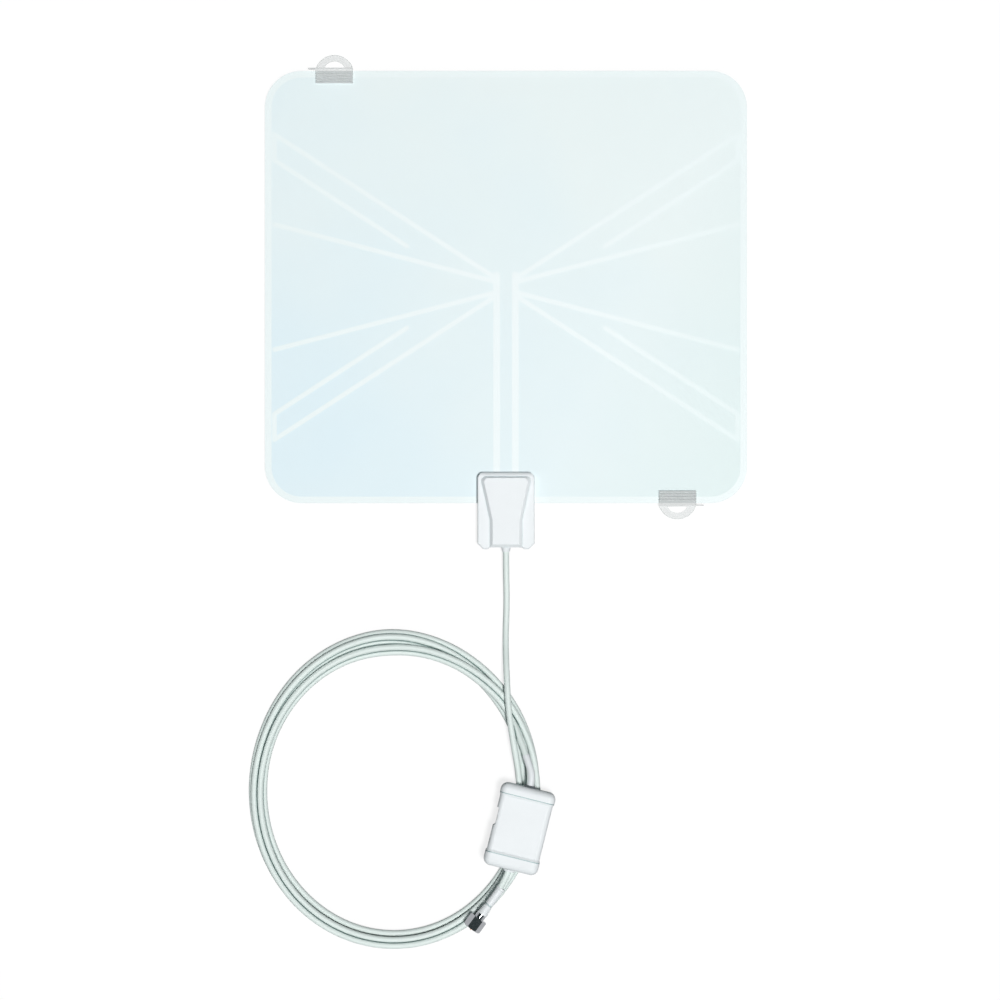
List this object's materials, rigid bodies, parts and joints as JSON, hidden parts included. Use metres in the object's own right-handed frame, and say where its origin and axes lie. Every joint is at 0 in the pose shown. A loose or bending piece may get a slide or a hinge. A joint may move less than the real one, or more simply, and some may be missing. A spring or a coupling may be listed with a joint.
{
  "type": "flat indoor tv antenna",
  "caption": "Square clear antenna sheet with fanned foil strips, a feed housing at its lower edge, a coiled coax lead, an in-line amplifier and a screw-on connector.",
  "frame": {"origin": "Centre of the feed housing's flat back face, on the surface that the antenna lies on.", "axes": "+X to the right of the sheet seen from its front, +Y from the housing up the sheet, +Z out of the sheet's front."},
  "size_m": [0.3408, 0.6115, 0.0224],
  "materials": {
    "sheet_film": "clear film with a pale blue-green tint, smooth",
    "radiator_foil": "pale conductive strip, satin",
    "clear_tab": "clear moulded plastic with ribbed jaws",
    "white_housing": "cool white moulded plastic, fine satin",
    "white_shell": "cool white moulded plastic, fine satin",
    "white_cable": "white PVC jacket, semi-matt",
    "soft_collar": "white soft PVC, semi-matt",
    "circuit_board": "green glass-fibre laminate",
    "copper": "bare copper",
    "spring_bronze": "rolled bronze strip",
    "ferrite": "dark grey sintered ferrite",
    "tinned_steel": "tinned sheet steel",
    "socket_insulator": "white moulded insulator",
    "sleeve": "white strain-relief sleeve",
    "nickel": "nickel-plated brass, bright"
  },
  "bodies": {
    "antenna": {"rear_film": "sheet_film", "front_film": "sheet_film", "right_radiator": "radiator_foil", "left_radiator": "radiator_foil", "hang_tab_top": "clear_tab", "hang_tab_bottom": "clear_tab", "housing_front_cover": "white_housing", "housing_rear_cover": "white_housing", "amplifier_top_shell": "white_shell", "amplifier_bottom_shell": "white_shell", "feed_cable": "white_cable", "cable_coil": "white_cable", "amplifier_input_lead": "white_cable", "connector_lead": "white_cable", "cable_grommet": "soft_collar", "amplifier_input_boot": "soft_collar", "amplifier_input_gland": "soft_collar", "amplifier_output_gland": "soft_collar", "matching_board": "circuit_board", "amplifier_board": "circuit_board", "balun_winding": "copper", "cable_core": "copper", "connector_pin": "copper", "feed_contact_left": "spring_bronze", "feed_contact_right": "spring_bronze", "balun_core": "ferrite", "amplifier_shield_can": "tinned_steel", "power_socket": "tinned_steel", "power_socket_tongue": "socket_insulator", "connector_insulator": "socket_insulator", "connector_sleeve": "sleeve", "connector_body": "nickel"},
    "coupling_nut": {"connector_nut": "nickel"}
  },
  "joints": [
    {"name": "nut_spin", "type": "hinge", "parent": "antenna", "child": "coupling_nut", "pos_m": [-0.021, -0.28098, 0.0154], "axis": [-0.5948, -0.8039, 0], "continuous": true}
  ]
}
